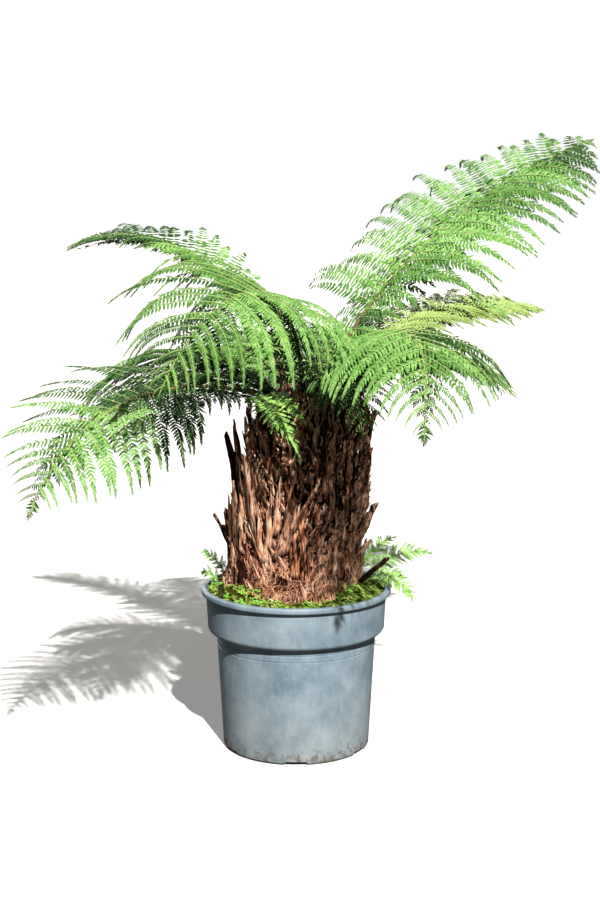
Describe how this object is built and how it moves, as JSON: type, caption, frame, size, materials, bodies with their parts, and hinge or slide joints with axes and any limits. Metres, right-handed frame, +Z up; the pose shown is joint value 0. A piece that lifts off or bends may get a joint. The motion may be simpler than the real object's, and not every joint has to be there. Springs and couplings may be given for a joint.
{
  "type": "potted tree fern",
  "caption": "Tree fern with a shaggy leaning trunk and arching fronds, in a tapered plastic nursery pot with moss on its compost.",
  "frame": {"origin": "middle of the pot's flat underside, on the surface that it stands on", "axes": "+Z up along the pot's axis, -Y towards the front as pictured, +X to the right seen from the front"},
  "size_m": [1.2399, 1.3818, 1.2866],
  "materials": {
    "pot": "moulded polypropylene, blue-grey, with a dusty film",
    "compost": "dark crumbly potting compost",
    "trunk": "shaggy reddish-brown fibre with peeling frond bases",
    "moss": "cushion of moss and small clover",
    "frond": "soft leaf, fresh green",
    "young_frond": "soft young leaf, yellow-green",
    "sprig": "soft seedling leaf, pale green"
  },
  "bodies": {
    "root": {"pot": "pot", "compost": "compost", "trunk": "trunk", "moss_mat": "moss", "frond_upper_right_inner": "frond", "frond_upper_right_outer": "frond", "frond_front_left_inner": "frond", "frond_front_left_outer": "frond", "frond_low_left_inner": "frond", "frond_low_left_outer": "frond", "frond_front_right_inner": "frond", "frond_front_right_outer": "frond", "frond_upper_left_inner": "frond", "frond_upper_left_outer": "frond", "frond_right_inner": "frond", "frond_right_outer": "frond", "frond_back_right_inner": "frond", "frond_back_right_outer": "frond", "frond_back_left_inner": "frond", "frond_back_left_outer": "frond", "frond_left_inner": "frond", "frond_left_outer": "frond", "frond_far_right_inner": "frond", "frond_far_right_outer": "frond", "frond_inner_back_inner": "frond", "frond_inner_back_outer": "frond", "frond_inner_left_inner": "frond", "frond_inner_left_outer": "frond", "frond_inner_front_inner": "frond", "frond_inner_front_outer": "frond", "frond_inner_right_inner": "frond", "frond_inner_right_outer": "frond", "frond_young_low": "young_frond", "frond_young_front": "young_frond", "sprig_right_long": "sprig", "sprig_right_short": "sprig", "sprig_right_low": "sprig", "sprig_right_back": "sprig", "sprig_left_back": "sprig", "sprig_left_front": "sprig"}
  },
  "joints": []
}
